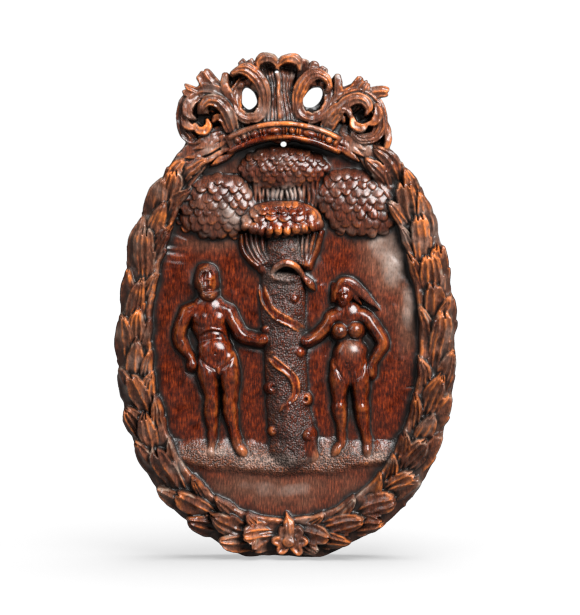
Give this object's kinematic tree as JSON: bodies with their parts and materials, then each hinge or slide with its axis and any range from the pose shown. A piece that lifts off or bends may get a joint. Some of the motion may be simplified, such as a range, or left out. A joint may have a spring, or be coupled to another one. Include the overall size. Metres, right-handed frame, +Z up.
{
  "type": "carved wood panel",
  "caption": "Upright oval carved wooden wall panel: leaf wreath, scrolled crown with pierced openings, and a relief of a tree with a serpent between a man and a woman.",
  "frame": {"origin": "on the flat back, behind the middle of the oval", "axes": "+Z up the panel to the crown, +Y out of the flat back into the wall, the carving faces -Y, +X to the viewer's right"},
  "size_m": [0.3085, 0.046, 0.4537],
  "materials": {
    "carved_wood": "dark walnut, oiled and waxed, worn orange-brown on the ridges and near black in the recesses"
  },
  "bodies": {
    "root": {"carved_panel": "carved_wood"}
  },
  "joints": []
}
